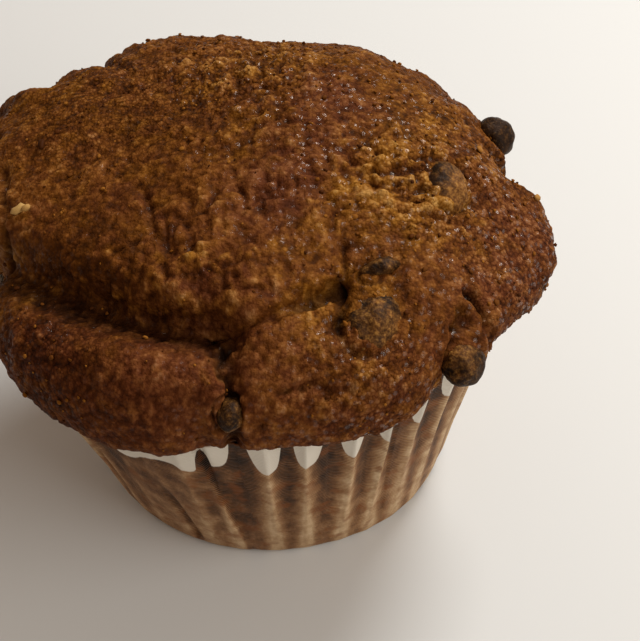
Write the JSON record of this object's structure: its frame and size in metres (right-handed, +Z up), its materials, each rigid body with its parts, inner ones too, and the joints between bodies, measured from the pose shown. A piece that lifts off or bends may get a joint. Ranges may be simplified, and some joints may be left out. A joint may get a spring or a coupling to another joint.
{
  "type": "muffin",
  "caption": "Chocolate-chip muffin with a mushroomed, creased crown over a tapered trunk in a fluted paper baking case that rests on its flat base.",
  "frame": {"origin": "centre of the paper case's flat base, on the surface it rests on", "axes": "+Z up through the crown; -Y towards the side with the flattened stretch of flutes and the upright crack; +X towards the lobe of the rim that reaches out furthest beside the chips"},
  "size_m": [0.0763, 0.0688, 0.0523],
  "materials": {
    "crumb": "matte, baked brown crust with a faint greasy sheen",
    "paper": "white baking paper stained brown by grease",
    "chocolate": "satin, bloomed dark chocolate"
  },
  "bodies": {
    "root": {"crumb": "crumb", "paper_case": "paper", "chip_rim_right": "chocolate", "chip_lip_right": "chocolate", "chip_crown_right": "chocolate", "chip_crown_front": "chocolate", "chip_crown_upper": "chocolate", "chip_lip_front": "chocolate"}
  },
  "joints": []
}
